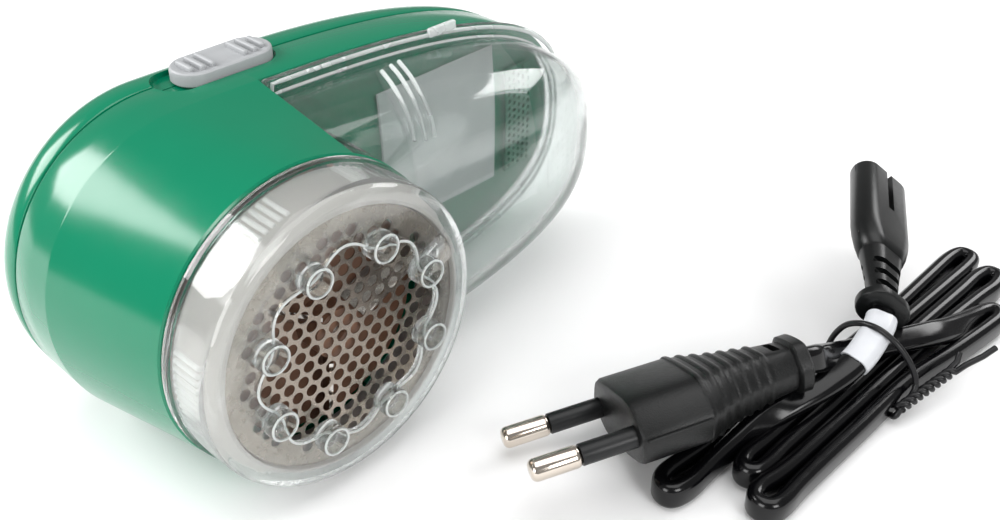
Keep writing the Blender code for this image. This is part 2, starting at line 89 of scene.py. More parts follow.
# Lint box
BOX_FRONT_X = BOX[0].x
BOX_TAIL_X = BOX[1].x
BOX_TOP_Z = BOX[1].z
BOX_WALL = 1.5
BOX_FLANGE = 2.7
BOX_FLANGE_THICK = 1.5
BOX_FULLNESS = 0.6
CHEEK_R = BARREL_R - 1.9


# ---------------------------------------------------------------- mesh tools

def loft(rings, closed=False):
    """A skin through rings of equal counts: a circle pushed from ring to ring."""
    bm = bmesh.new()
    place = bm.verts.layers.int.new("place")
    start = bmesh.ops.create_circle(bm, segments=len(rings[0]), radius=1)["verts"]
    for number, vert in enumerate(start):
        vert[place] = number
        vert.co = rings[0][number]
    edges = bm.edges[:]
    for ring in rings[1:] + (rings[:1] if closed else []):
        pushed = bmesh.ops.extrude_edge_only(bm, edges=edges)["geom"]
        edges = [part for part in pushed if isinstance(part, bmesh.types.BMEdge) and part.is_boundary]
        for vert in (part for part in pushed if isinstance(part, bmesh.types.BMVert)):
            vert.co = ring[vert[place]]
    bmesh.ops.remove_doubles(bm, verts=bm.verts, dist=0.0005)
    if not closed:
        bmesh.ops.holes_fill(bm, edges=[edge for edge in bm.edges if edge.is_boundary], sides=0)
    bmesh.ops.recalc_face_normals(bm, faces=bm.faces)
    return bm


def turned(profile, segments=128, closed=True):
    """A shape turned about z from (radius, z) points that go round its section, or from axis to axis."""
    bm = bmesh.new()
    points = [bm.verts.new((radius, 0, z)) for radius, z in profile]
    first = 0 if closed else 1
    edges = [bm.edges.new((points[i - 1], points[i])) for i in range(first, len(points))]
    bmesh.ops.spin(
        bm, geom=points + edges, cent=(0, 0, 0), axis=(0, 0, 1), angle=math.tau, steps=segments, use_merge=True
    )
    bmesh.ops.remove_doubles(bm, verts=bm.verts, dist=0.0005)
    bmesh.ops.recalc_face_normals(bm, faces=bm.faces)
    return bm


def block(low, high, rounding=0.0, segments=3):
    """A box with rounded edges."""
    bm = bmesh.new()
    bmesh.ops.create_cube(bm, size=1)
    bmesh.ops.scale(bm, vec=[b - a for a, b in zip(low, high)], verts=bm.verts)
    bmesh.ops.translate(bm, vec=[(a + b) / 2 for a, b in zip(low, high)], verts=bm.verts)
    if rounding:
        bmesh.ops.bevel(
            bm, geom=bm.edges, offset=rounding, segments=segments, affect="EDGES", profile=0.5, material=-1
        )
    return bm


def bar(start, end, radius, segments=24, sides=None):
    """A round bar from start to end, with round ends when sides is given."""
    bm = bmesh.new()
    run = Vector(end) - Vector(start)
    bmesh.ops.create_cone(bm, cap_ends=True, segments=segments, radius1=radius, radius2=radius, depth=run.length)
    turn = run.to_track_quat("Z", "Y").to_matrix().to_4x4()
    bmesh.ops.transform(bm, matrix=Matrix.Translation((Vector(start) + Vector(end)) / 2) @ turn, verts=bm.verts)
    if sides:
        rims = [edge for edge in bm.edges if any(len(face.verts) > 4 for face in edge.link_faces)]
        bmesh.ops.bevel(
            bm, geom=rims, offset=sides, segments=4, affect="EDGES", profile=0.5, material=-1
        )
    return bm


def joined(forms):
    """Several forms as one bmesh; each stays a shell of its own."""
    whole = bmesh.new()
    for form in forms:
        mesh = bpy.data.meshes.new("part")
        form.to_mesh(mesh)
        form.free()
        whole.from_mesh(mesh)
        bpy.data.meshes.remove(mesh)
    return whole


def combine(form, other, operation="DIFFERENCE"):
    """The closed form with another cut from it or joined to it."""
    pair = []
    for bm in (form, other):
        mesh = bpy.data.meshes.new("part")
        bm.to_mesh(mesh)
        bm.free()
        pair.append(bpy.data.objects.new("part", mesh))
        bpy.context.scene.collection.objects.link(pair[-1])
    step = pair[0].modifiers.new("combine", "BOOLEAN")
    step.operation, step.solver, step.object = operation, "EXACT", pair[1]
    made = bpy.data.meshes.new_from_object(pair[0].evaluated_get(bpy.context.evaluated_depsgraph_get()))
    result = bmesh.new()
    result.from_mesh(made)
    bpy.data.meshes.remove(made)
    for helper in pair:
        mesh = helper.data
        bpy.data.objects.remove(helper)
        bpy.data.meshes.remove(mesh)
    return result


def piece(name, bm, material, body, replaced=(), place=SHAVER, sharp=35):
    """The finished piece: in place in the frame, shaded smooth, riding its body."""
    bmesh.ops.remove_doubles(bm, verts=bm.verts, dist=0.0005)
    bmesh.ops.dissolve_degenerate(bm, edges=bm.edges, dist=0.0004)
    bmesh.ops.transform(bm, matrix=place, verts=bm.verts)
    mesh = bpy.data.meshes.new(name)
    bm.to_mesh(mesh)
    bm.free()
    mesh.shade_smooth()
    mesh.set_sharp_from_angle(angle=math.radians(sharp))
    mesh.materials.append(material)
    made = bpy.data.objects.new(name, mesh)
    bpy.context.scene.collection.objects.link(made)
    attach(made, body)
    if replaced:
        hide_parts(*replaced)
    return made


def smoothstep(value):
    value = min(max(value, 0.0), 1.0)
    return value * value * (3 - 2 * value)


# ---------------------------------------------------------------- materials

def linear(code):
    """A linear colour from six sRGB hex digits."""
    channels = [int(code[i : i + 2], 16) / 255 for i in (0, 2, 4)]
    return [c / 12.92 if c <= 0.04045 else ((c + 0.055) / 1.055) ** 2.4 for c in channels] + [1.0]


def add(tree, kind, feeds, **settings):
    """Adds a shader node. feeds gives each input a value or another node's output."""
    made = tree.nodes.new("ShaderNode" + kind)
    for name, value in settings.items():
        setattr(made, name, value)
    for name, value in feeds.items():
        if isinstance(value, bpy.types.NodeSocket):
            tree.links.new(value, made.inputs[name])
        else:
            made.inputs[name].default_value = value
    return made


def blank(name, **values):
    """A material with its Principled shader's own values; returns it with its tree, shader and coordinates."""
    made = bpy.data.materials.new(name)
    made.use_nodes = True
    tree = made.node_tree
    shader = tree.nodes["Principled BSDF"]
    for key, value in values.items():
        shader.inputs[key.replace("_", " ").title().replace("Ior", "IOR")].default_value = value
    return made, tree, shader, add(tree, "TexCoord", {}).outputs["Object"]


def mottle(tree, shader, where, low, high, grain_mm, detail=4.0):
    """Colour that drifts between two close shades over patches of the given size."""
    noise = add(tree, "TexNoise", {"Vector": where, "Scale": 1 / (grain_mm * MM), "Detail": detail})
    mix = add(tree, "Mix", {0: noise.outputs["Fac"], 6: linear(low), 7: linear(high)}, data_type="RGBA")
    tree.links.new(mix.outputs[2], shader.inputs["Base Color"])
    return noise


def polish(tree, shader, where, low, high, grain_mm):
    """Roughness that varies over patches of the given size, as handling and the mould leave it."""
    noise = add(tree, "TexNoise", {"Vector": where, "Scale": 1 / (grain_mm * MM), "Detail": 3.0})
    spread = add(tree, "MapRange", {"Value": noise.outputs["Fac"], "To Min": low, "To Max": high})
    tree.links.new(spread.outputs["Result"], shader.inputs["Roughness"])


def relief(tree, shader, height, depth_mm, strength=1.0, also=None):
    """Bump from a 0 to 1 height, depth_mm deep."""
    feeds = {"Height": height, "Distance": depth_mm * MM, "Strength": strength}
    if also:
        feeds["Normal"] = also.outputs["Normal"]
    bump = add(tree, "Bump", feeds)
    tree.links.new(bump.outputs["Normal"], shader.inputs["Normal"])
    return bump


def green_abs():
    """Solid-dyed ABS from a polished mould: an even, glossy green with a very shallow waviness."""
    made, tree, shader, where = blank("moulded gloss ABS, green", ior=1.5)
    mottle(tree, shader, where, "007050", "007856", 22.0, 2.0)
    polish(tree, shader, where, 0.13, 0.19, 3.0)
    wave = add(tree, "TexNoise", {"Vector": where, "Scale": 1 / (5.0 * MM), "Detail": 1.0})
    relief(tree, shader, wave.outputs["Fac"], 0.02, 0.5)
    return made


def white_abs(name, low, high):
    """Natural white ABS: slightly milky, satin from the mould."""
    made, tree, shader, where = blank(name, ior=1.52)
    mottle(tree, shader, where, low, high, 6.0)
    polish(tree, shader, where, 0.32, 0.42, 1.2)
    return made


def grey_abs():
    """Light grey ABS with the fine spark-eroded grain of a key or slider."""
    made, tree, shader, where = blank("spark-grained ABS, light grey", ior=1.52)
    mottle(tree, shader, where, "9c9ea0", "a6a8aa", 3.0)
    polish(tree, shader, where, 0.42, 0.52, 0.6)
    grain = add(tree, "TexNoise", {"Vector": where, "Scale": 1 / (0.12 * MM), "Detail": 2.0})
    relief(tree, shader, grain.outputs["Fac"], 0.012, 0.4)
    return made


def dark_abs():
    """Brown-black ABS of the inner wheel, dulled by lint dust."""
    made, tree, shader, where = blank("dust-dulled ABS, brown", ior=1.52)
    mottle(tree, shader, where, "6b4a38", "8a6650", 4.0)
    polish(tree, shader, where, 0.4, 0.55, 1.0)
    return made


def clear_styrene(name, rough_low, rough_high, body, clearness=1.0):
    """Clear polystyrene: a thin wall that lets most light straight through and bends the rest at its edges. A
    clearness under 1 turns part of it diffuse white, used as a painted highlight.
    """
    made, tree, shader, where = blank(name, ior=1.49, transmission_weight=clearness, alpha=body)
    shader.inputs["Base Color"].default_value = linear("f4f8f7")
    polish(tree, shader, where, rough_low, rough_high, 9.0)
    return made


def steel(name, low, high, rough, brushed=0.0, vector=(1, 1, 1)):
    """Stainless steel, rolled or turned, with its fine lines along one direction."""
    made, tree, shader, where = blank(name, metallic=1.0)
    mottle(tree, shader, where, low, high, 5.0)
    polish(tree, shader, where, rough - 0.05, rough + 0.06, 1.5)
    if brushed:
        lines = add(tree, "Mapping", {"Vector": where, "Scale": vector})
        noise = add(tree, "TexNoise", {"Vector": lines.outputs["Vector"], "Scale": 1 / (0.35 * MM), "Detail": 2.0})
        relief(tree, shader, noise.outputs["Fac"], brushed, 0.35)
    return made


def black_pvc(name, low, high, rough, grain_mm, depth_mm):
    """Soft black PVC; the mould's grain scatters the light on the grips, the extruded cord is smooth."""
    made, tree, shader, where = blank(name, ior=1.5, specular_ior_level=0.36)
    mottle(tree, shader, where, low, high, 2.5)
    polish(tree, shader, where, rough - 0.05, rough + 0.06, 1.2)
    if depth_mm:
        grain = add(tree, "TexNoise", {"Vector": where, "Scale": 1 / (grain_mm * MM), "Detail": 3.0})
        relief(tree, shader, grain.outputs["Fac"], depth_mm, 0.7)
    return made


def plain(name, low, high, rough, metallic=0.0, grain_mm=3.0):
    """A quiet finish for what is seen only through gaps."""
    made, tree, shader, where = blank(name, metallic=metallic)
    mottle(tree, shader, where, low, high, grain_mm)
    polish(tree, shader, where, rough - 0.05, rough + 0.05, 1.0)
    return made


GREEN = green_abs()
WHITE = white_abs("moulded satin ABS, white", "efecea", "f6f4f2")
# The locking ring is the same white ABS as its ribs, drawn darker here as painted shade between the ribs.
RING_WHITE_PAINTED_SHADE = white_abs("moulded satin ABS, white darkened as painted shade", "c2bcb8", "cdc8c4")
GREY = grey_abs()
BROWN = dark_abs()
CLEAR = clear_styrene("moulded clear polystyrene", 0.02, 0.06, 0.86)
GUARD_CLEAR = clear_styrene("polished clear polystyrene", 0.02, 0.05, 0.84)
# Half clear, half diffuse white: a painted highlight for the white lines that light leaves along clear edges, grips
# and latches.
PAINTED_HIGHLIGHT_CLEAR = clear_styrene("clear polystyrene, rough and whitened as painted highlight", 0.22, 0.32, 0.92, 0.5)
FOIL_STEEL = steel("rolled stainless steel, etched", "9c9288", "aea499", 0.26, 0.006, (1.0, 1.0, 0.06))
BLADE_STEEL = steel("ground stainless steel", "b8b4ae", "cfcac4", 0.24)
NICKEL = steel("bright nickel plate", "cfc4b8", "ddd3c8", 0.14)
PLUG_PVC = black_pvc("grained PVC, black", "060707", "0d0e0e", 0.38, 0.3, 0.1)
CONNECTOR_PVC = black_pvc("fine-grained PVC, black", "070808", "0d0f0f", 0.3, 0.2, 0.03)
CORD_PVC = black_pvc("extruded PVC, black", "040405", "070709", 0.17, 0.0, 0.0)
TIE_PVC = black_pvc("dipped wire, black", "0c0c0e", "151517", 0.34, 0.5, 0.02)
SLEEVE_PVC = black_pvc("pin sleeve PVC, black", "0e0f10", "171819", 0.38, 0.4, 0.01)
STICKER = plain("coated paper sticker, white", "c3c5c9", "d0d2d6", 0.3)
PLATE_FOIL = plain("printed foil label, grey", "bcc2c0", "ccd1cf", 0.42)
BOARD = plain("solder mask, green", "1b4a2a", "24603a", 0.35)
COPPER = plain("copper-brown phenolic", "9a6440", "b27a52", 0.45)


# ---------------------------------------------------------------- shaver's outlines

def outline(turn, inset=0.0, tail=TAIL_X):
    """A point of the body seen along the head axis: a round nose and a squared-off elliptical tail."""
    along, across = math.cos(turn), math.sin(turn)
    half = NOSE_R - inset
    if along <= 0:
        return Vector((NOSE_X + half * along, half * across))
    size = (along**TAIL_POWER + abs(across) ** TAIL_POWER) ** (-1 / TAIL_POWER)
    return Vector((NOSE_X + (tail - inset - NOSE_X) * size * along, half * size * across))


def turn_at(x):
    """The turn at which the outline passes x, behind the nose."""
    low, high = 0.0, math.pi / 2
    for _ in range(40):
        middle = (low + high) / 2
        low, high = (middle, high) if outline(middle).x > x else (low, middle)
    return low


SHOULDER_TURN = turn_at(BOX_FRONT_X)
SHOULDER_ANGLE = math.acos(BOX_FRONT_X / BARREL_R)
SIDE_COUNT = 36
REAR_COUNT = RING_POINTS // 2 - SIDE_COUNT


def ring_turns():
    """Turns round the outline: even behind the shoulder and in front of it, with a close pair at the shoulder."""
    rear = [SHOULDER_TURN * step / REAR_COUNT for step in range(REAR_COUNT)]
    front = [
        SHOULDER_TURN + (math.pi - SHOULDER_TURN) * step / SIDE_COUNT for step in range(SIDE_COUNT)
    ]
    half = rear[1:] + [SHOULDER_TURN - 0.002] + front
    return [0.0] + half + [math.pi] + [-turn for turn in reversed(half)]


TURNS = ring_turns()


def barrel_point(turn, z, inset=0.0, rear_r=CHEEK_R):
    """A point of the barrel: the body's own side in front of the shoulder, a narrower round behind it."""
    side = 1 if turn >= 0 else -1
    turn = abs(turn)
    share = min(max((z - FLOOR_Z) / (BARREL_Z - FLOOR_Z), 0), 1)
    if turn < SHOULDER_TURN - 1e-6:
        angle = SHOULDER_ANGLE * turn / SHOULDER_TURN
        point = (rear_r - inset) * Vector((math.cos(angle), math.sin(angle)))
    else:
        angle = turn
        if turn < math.pi / 2:
            share_round = (turn - SHOULDER_TURN) / (math.pi / 2 - SHOULDER_TURN)
            angle = SHOULDER_ANGLE + (math.pi / 2 - SHOULDER_ANGLE) * share_round
        face = (BARREL_R - inset) * Vector((math.cos(angle), math.sin(angle)))
        point = outline(turn, inset).lerp(face, share)
    return (point.x, side * point.y, z)


def slab_ring(z, inset=0.0, rear_inset=0.0, tail=TAIL_X):
    """The handle's edge at one height; rear_inset draws in only what lies behind the shoulder."""
    ring = []
    for turn in TURNS:
        drawn = inset + (rear_inset if abs(turn) < SHOULDER_TURN - 0.001 else 0)
        point = outline(turn, drawn, tail)
        ring.append((point.x, point.y, z))
    return ring


def barrel_ring(z, inset=0.0, rear_r=CHEEK_R):
    return [barrel_point(turn, z, inset, rear_r) for turn in TURNS]


def bowl_rings(inset, tail, rim_z, depth_at, fullness, steps=22, last=89.0):
    """Rings of a bowl from its rim to nearly its middle. depth_at gives its signed depth at x."""
    rings = []
    for step in range(steps):
        turn = math.radians(last) * step / (steps - 1)
        spread, sink = math.cos(turn) ** fullness, math.sin(turn) ** fullness
        ring = []
        for x, y in (outline(t, inset, tail) for t in TURNS):
            x = SPINE_X + (x - SPINE_X) * spread
            ring.append((x, y * spread, rim_z + depth_at(x) * sink))
        rings.append(ring)
    return rings


def cover_depth(x):
    fall = max(0.0, (x - 30) / (TAIL_X - 30)) ** 1.6
    return -(COVER_DEPTH - (COVER_DEPTH - COVER_TAIL_DEPTH) * fall)


# ---------------------------------------------------------------- shaver's pieces

POCKET_Y = NOSE_R - 1.3
SWITCH_X = (SWITCH[0].x + SWITCH[1].x) / 2
SWITCH_Z = (SWITCH[0].z + SWITCH[1].z) / 2
SWITCH_HALF = (SWITCH[1].z - SWITCH[0].z) / 2
SWITCH_REACH = (SWITCH[1].x - SWITCH[0].x) / 2
SWITCH_TRAVEL = 3.5
INLET_Z = (span("inlet_socket")[0].z + span("inlet_socket")[1].z) / 2
INLET_REACH, INLET_RISE = 8.9, 4.6


def stadium(low_x, high_x, half, y, points=40):
    """A ring with round ends in the plane at y, round the switch's middle height."""
    ring = []
    for step in range(points):
        turn = math.tau * step / points
        middle = high_x - half if math.cos(turn) > -1e-9 else low_x + half
        ring.append((middle + half * math.cos(turn), y, SWITCH_Z + half * math.sin(turn)))
    return ring


def pocket_form():
    """The pocket that the switch slides in."""
    low, high = SWITCH_X - SWITCH_REACH - SWITCH_TRAVEL - 0.5, SWITCH_X + SWITCH_REACH + 0.5
    half = SWITCH_HALF + 0.45
    return loft([stadium(low, high, half, POCKET_Y), stadium(low, high, half, 38.0)])


def slot_form():
    return block((SWITCH_X - 3 - SWITCH_TRAVEL, 24, -1.9), (SWITCH_X + 3, 30, 2.3))


def inlet_form():
    low = (81, -INLET_REACH, INLET_Z - INLET_RISE)
    return block(low, (95, INLET_REACH, INLET_Z + INLET_RISE), 2.6, 5)


def make_handle_shell():
    outer = [
        slab_ring(SEAM_GAP, 0.45),
        slab_ring(SEAM_GAP + 0.12, 0.16),
        slab_ring(SEAM_GAP + 0.5),
        slab_ring(FLOOR_Z * 0.5),
        slab_ring(FLOOR_Z - 0.5),
        slab_ring(FLOOR_Z - 0.15, 0, 0.12),
        slab_ring(FLOOR_Z, 0, 0.45),
        barrel_ring(FLOOR_Z, 0, CHEEK_R + 0.8),
        barrel_ring(FLOOR_Z + 0.25, 0, CHEEK_R + 0.25),
        barrel_ring(FLOOR_Z + 0.8),
        barrel_ring(18),
        barrel_ring(26),
        barrel_ring(35.0),
        barrel_ring(35.1, 0, BARREL_R),
        barrel_ring(BARREL_Z - 0.25, 0, BARREL_R),
        barrel_ring(BARREL_Z, 0.3, BARREL_R),
    ]
    inner_z = (BARREL_Z, 26, 18, FLOOR_Z - WALL)
    inner = [barrel_ring(z, WALL, CHEEK_R + 0.4) for z in inner_z]
    inner += [slab_ring(FLOOR_Z - WALL, WALL), slab_ring(SEAM_GAP, WALL)]
    shell = loft(outer + inner, closed=True)
    shell = combine(shell, block((15, -12, 26.5), (40, 12, 34.2), 1.5))
    for cutter in (pocket_form(), slot_form(), inlet_form()):
        shell = combine(shell, cutter)
    piece("handle_shell", shell, GREEN, "housing", ["main_body"])


def make_back_cover():
    outer = bowl_rings(0, TAIL_X, -SEAM_GAP - 0.4, lambda x: cover_depth(x) + 0.4, COVER_FULLNESS)
    rim = [slab_ring(-SEAM_GAP - 0.1, 0.16), slab_ring(-SEAM_GAP, 0.45), slab_ring(-SEAM_GAP, WALL)]
    inner = bowl_rings(WALL, TAIL_X, -SEAM_GAP, lambda x: cover_depth(x) + WALL, COVER_FULLNESS, 12)
    shell = loft(outer[::-1] + rim + inner)
    for cutter in (pocket_form(), slot_form(), inlet_form()):
        shell = combine(shell, cutter)
    piece("back_cover", shell, GREEN, "housing", ["top_cover"])


def tube(path, radius, points=12, closed=False):
    """A round tube along a path of points."""
    rings = []
    count = len(path)
    for number, spot in enumerate(path):
        after = path[(number + 1) % count] if closed or number + 1 < count else spot
        before = path[number - 1] if closed or number else spot
        along = (Vector(after) - Vector(before)).normalized()
        side = along.cross(Vector((0.31, 0.27, 0.91))).normalized()
        up = side.cross(along)
        turns = [math.tau * step / points for step in range(points)]
        rings.append([Vector(spot) + radius * (math.cos(t) * side + math.sin(t) * up) for t in turns])
    return loft(rings, closed)


def smooth_path(points, per_span=6):
    """A smooth line through points of any dimension."""
    ends = [Vector(point) for point in points]
    ends = [2 * ends[0] - ends[1]] + ends + [2 * ends[-1] - ends[-2]]
    line = []
    for a, b, c, d in zip(ends, ends[1:], ends[2:], ends[3:]):
        for step in range(per_span):
            t = step / per_span
            line.append(0.5 * (2 * b + (c - a) * t + (2 * a - 5 * b + 4 * c - d) * t**2 + (3 * b - a - 3 * c + d) * t**3))
    return line + [ends[-2]]


BOX_RIM_Z = FLOOR_Z + 0.3
BOX_EDGE_Z = BOX_RIM_Z + BOX_FLANGE_THICK
RIBS = (
    ((32.6, 28.2, 19.9), (32.2, 27, 22.7), (31.5, 25.1, 26), (30.7, 22.4, 28.9), (29.6, 19.2, 31.2)),
    ((35.4, 28.2, 19.2), (34.9, 27, 22.4), (34, 24.8, 26.2), (33.1, 22, 29.1), (32, 18.5, 31.5)),
    ((37.6, 28.2, 18.9), (36.9, 26.7, 22.8), (36, 24.6, 26.3), (35.2, 21.5, 29.4), (34.1, 18.5, 31.5)),
)


def box_height(top, rim_z):
    return lambda x: top - rim_z


def on_bowl(x, y):
    """Height of the lint box's outside over a point."""
    rings = bowl_rings(BOX_FLANGE, BOX_TAIL_X, 0, lambda along: 1.0, BOX_FULLNESS, 60)
    best = min(
        (abs(px - x) + abs(py - y), pz) for ring in rings for px, py, pz in ring
    )
    return BOX_EDGE_Z + (BOX_TOP_Z - BOX_EDGE_Z) * best[1]


def make_lint_box():
    flange = [
        slab_ring(BOX_RIM_Z, 0.35, 0, BOX_TAIL_X),
        slab_ring(BOX_RIM_Z + 0.35, 0, 0, BOX_TAIL_X),
        slab_ring(BOX_EDGE_Z - 0.5, 0, 0, BOX_TAIL_X),
        slab_ring(BOX_EDGE_Z - 0.12, 0.14, 0, BOX_TAIL_X),
        slab_ring(BOX_EDGE_Z, 0.5, 0, BOX_TAIL_X),
    ]
    outer = bowl_rings(
        BOX_FLANGE, BOX_TAIL_X, BOX_EDGE_Z, box_height(BOX_TOP_Z, BOX_EDGE_Z), BOX_FULLNESS, 28
    )
    solid = loft(flange + outer)
    cheek = [(BARREL_R, BOX_RIM_Z), (BARREL_R, BARREL_Z - 1.3), (BARREL_R - 0.3, BARREL_Z - 1)]
    cheek += [(CHEEK_R + 0.3, BARREL_Z - 1), (CHEEK_R + 0.3, BOX_RIM_Z)]
    inner_top = BOX_TOP_Z - BOX_WALL
    inner = bowl_rings(
        BOX_FLANGE + BOX_WALL, BOX_TAIL_X, BOX_RIM_Z, box_height(inner_top, BOX_RIM_Z), BOX_FULLNESS, 24
    )
    inner = [slab_ring(BOX_RIM_Z - 2, BOX_FLANGE + BOX_WALL, 0, BOX_TAIL_X)] + inner
    solid = combine(solid, loft(inner))
    solid = combine(solid, turned(cheek, 160), "UNION")
    solid = combine(solid, turned([(0, 5), (CHEEK_R + 0.3, 5), (CHEEK_R + 0.3, 60), (0, 60)], 160, False))
    solid = combine(solid, block((-60, -60, 0), (BOX_FRONT_X + 0.5, 60, 60)))
    piece("lint_box", solid, CLEAR, "container", ["lint_container"])

    grips = []
    for rib in RIBS:
        for side in (1, -1):
            path = [(x + 0.1, side * (y + 0.15), z) for x, y, z in rib]
            grips.append(tube(smooth_path(path, 5), 0.42, 10))
    # Grips in the whitened clear material: painted highlight along each rib.
    piece("lint_box_grips", joined(grips), PAINTED_HIGHLIGHT_CLEAR, "container")

    front = turn_at(BOX_FRONT_X + 1.4)
    turns = [front - 2 * front * step / 150 for step in range(151)]
    line = []
    for inset, order in ((0.75, turns), (BOX_FLANGE + 0.1, turns[::-1])):
        for turn in order:
            point = outline(turn, inset, BOX_TAIL_X)
            line.append((point.x, point.y, BOX_EDGE_Z + 0.05))
    # Beads in the whitened clear material: painted highlight along the box's edge.
    piece("lint_box_beads", tube(line, 0.42, 10, closed=True), PAINTED_HIGHLIGHT_CLEAR, "container")

    latch = [
        block((51, side * 27.9 - 0.9, BOX_EDGE_Z - 0.2), (58, side * 27.9 + 0.9, BOX_EDGE_Z + 0.9), 0.3)
        for side in (1, -1)
    ]
    # Latches in the whitened clear material: painted highlight.
    piece("lint_box_latches", joined(latch), PAINTED_HIGHLIGHT_CLEAR, "container")


CAP_R = GUARD[1].y
CAP_Z = GUARD[0].z
CAP_TOP_Z = GUARD[1].z - 2.2
POST_CIRCLE_R, POST_R = 17.4, 2.7
POSTS = [math.radians(45 * (step + 0.5)) for step in range(8)]


def make_guard():
    section = [
        (CAP_R, CAP_Z + 0.2), (CAP_R, CAP_Z + 1.5), (CAP_R - 0.2, CAP_Z + 1.7), (CAP_R - 0.5, CAP_Z + 1.8),
        (CAP_R - 0.6, CAP_Z + 8.8), (CAP_R - 0.7, CAP_Z + 9.8), (CAP_R - 1.1, CAP_Z + 10.7),
        (CAP_R - 1.8, CAP_Z + 11.3), (CAP_R - 2.7, CAP_Z + 11.6), (CAP_R - 3.6, CAP_TOP_Z), (15.6, CAP_TOP_Z),
        (15.4, CAP_TOP_Z - 0.2), (15.4, CAP_TOP_Z - 1.0), (15.6, CAP_TOP_Z - 1.2), (25.2, CAP_TOP_Z - 1.2),
        (26.1, CAP_TOP_Z - 1.5), (26.65, CAP_TOP_Z - 2.2), (26.7, CAP_Z + 0.1), (26.8, CAP_Z), (28.0, CAP_Z),
    ]
    cap = turned(section, 160)
    turns = [math.tau * step / 160 for step in range(160)]
    scallop = []
    for low, extra in ((40, 0), (CAP_TOP_Z - 0.3, 0), (CAP_TOP_Z + 0.3, 0.5)):
        sizes = [17.7 + 1.1 * math.cos(8 * turn) + extra for turn in turns]
        scallop.append([(size * math.cos(t), size * math.sin(t), low) for size, t in zip(sizes, turns)])
    cap = combine(cap, loft(scallop))
    for turn in POSTS:
        x, y = POST_CIRCLE_R * math.cos(turn), POST_CIRCLE_R * math.sin(turn)
        top = GUARD[1].z
        post = [(0, CAP_TOP_Z - 1.2), (POST_R - 0.1, CAP_TOP_Z - 1.2), (POST_R, CAP_TOP_Z - 1.1), (POST_R, top - 0.2)]
        post += [(POST_R - 0.2, top), (POST_R - 0.6, top), (POST_R - 0.7, top - 0.2), (POST_R - 0.75, CAP_TOP_Z + 0.3)]
        post += [(POST_R - 1.0, CAP_TOP_Z), (0, CAP_TOP_Z)]
        disc = turned(post, 40, False)
        bmesh.ops.translate(disc, vec=(x, y, 0), verts=disc.verts)
        cap = combine(cap, disc, "UNION")
    edges = []
    for turn in POSTS:
        x, y = POST_CIRCLE_R * math.cos(turn), POST_CIRCLE_R * math.sin(turn)
        spots = [(x + 2.4 * math.cos(t), y + 2.4 * math.sin(t), GUARD[1].z - 0.12) for t in turns[::4]]
        edges.append(tube(spots, 0.2, 8, closed=True))
    spots = [(Vector(spot).x, Vector(spot).y, CAP_TOP_Z) for spot in scallop[1]]
    edges.append(tube(spots, 0.24, 8, closed=True))
    # Post rims and scalloped rim in the whitened clear material: painted highlight along the guard's edges.
    piece("guard_edges", joined(edges), PAINTED_HIGHLIGHT_CLEAR, "guard")
    piece("spacer_guard", cap, GUARD_CLEAR, "guard", ["guard_cap"])


def make_head_ring():
    low, high = RING[0].z, RING[1].z
    radius = RING[1].x
    section = [
        (radius - 0.5, low), (radius - 0.3, low + 0.2), (radius - 0.3, low + 6.8), (radius - 0.6, low + 7.6),
        (radius - 1.4, low + 8.6), (radius - 1.9, high - 0.1), (radius - 2.2, high), (23.95, high),
        (23.85, high - 0.2), (23.8, high - 1.5), (23.9, low + 0.3), (24.1, low),
    ]
    ring = turned(section, 160)
    ribs = []
    for group in range(6):
        for step in range(11):
            turn = math.radians(60 * group + 3.1 * (step - 5))
            x, y = (radius - 0.42) * math.cos(turn), (radius - 0.42) * math.sin(turn)
            ribs.append(bar((x, y, low + 0.8), (x, y, low + 6.9), 0.5, 10, 0.2))
    # Ring in the darker white as painted shade between the ribs; the ribs keep the plain white.
    piece("head_ring", ring, RING_WHITE_PAINTED_SHADE, "foil_ring", ["locking_ring"])
    piece("head_ring_ribs", joined(ribs), WHITE, "foil_ring")


HOLE_R, HOLE_PITCH, HOLE_ZONE_R = 1.08, 2.86, 20.9


def make_foil():
    bm = bmesh.new()
    radius = FOIL[1].x
    bmesh.ops.create_circle(bm, segments=128, radius=radius)
    across = int(HOLE_ZONE_R / HOLE_PITCH) + 2
    for row in range(-across, across + 1):
        for column in range(-across, across + 1):
            x = HOLE_PITCH * (column + row % 2 / 2)
            y = HOLE_PITCH * row * math.sqrt(3) / 2
            reach = math.hypot(x, y)
            if reach < HOLE_ZONE_R - HOLE_R * 0.4:
                place = Matrix.Translation((x, y, 0))
                bmesh.ops.create_circle(bm, segments=20, radius=HOLE_R, matrix=place)
    bmesh.ops.triangle_fill(bm, use_beauty=True, edges=bm.edges)
    for vert in bm.verts:
        reach = math.hypot(vert.co.x, vert.co.y)
        vert.co.z = FOIL[1].z - 0.1 - 0.5 * (1 - smoothstep((reach - 12) / 11))
    bmesh.ops.recalc_face_normals(bm, faces=bm.faces)
    bmesh.ops.solidify(bm, geom=bm.faces[:], thickness=0.16)
    bmesh.ops.recalc_face_normals(bm, faces=bm.faces)
    piece("shaving_foil", bm, FOIL_STEEL, "foil_ring", ["foil"], sharp=30)


def make_vents():
    """The exhaust's plate with staggered rows of round holes."""
    low, high = GRILLE
    plate = block(low, (high.x, high.y, high.z - 0.3), 0.3)
    holes = []
    for row in range(5):
        for column in range(14):
            x = low.x + 1.0 + 1.5 * row
            y = low.y + 1.2 + 1.62 * (column + row % 2 / 2)
            holes.append(bar((x, y, high.z - 0.9), (x, y, high.z + 1), 0.55, 14))
    piece("exhaust_vents", combine(plate, joined(holes)), GREEN, "housing", ["exhaust_grille"])


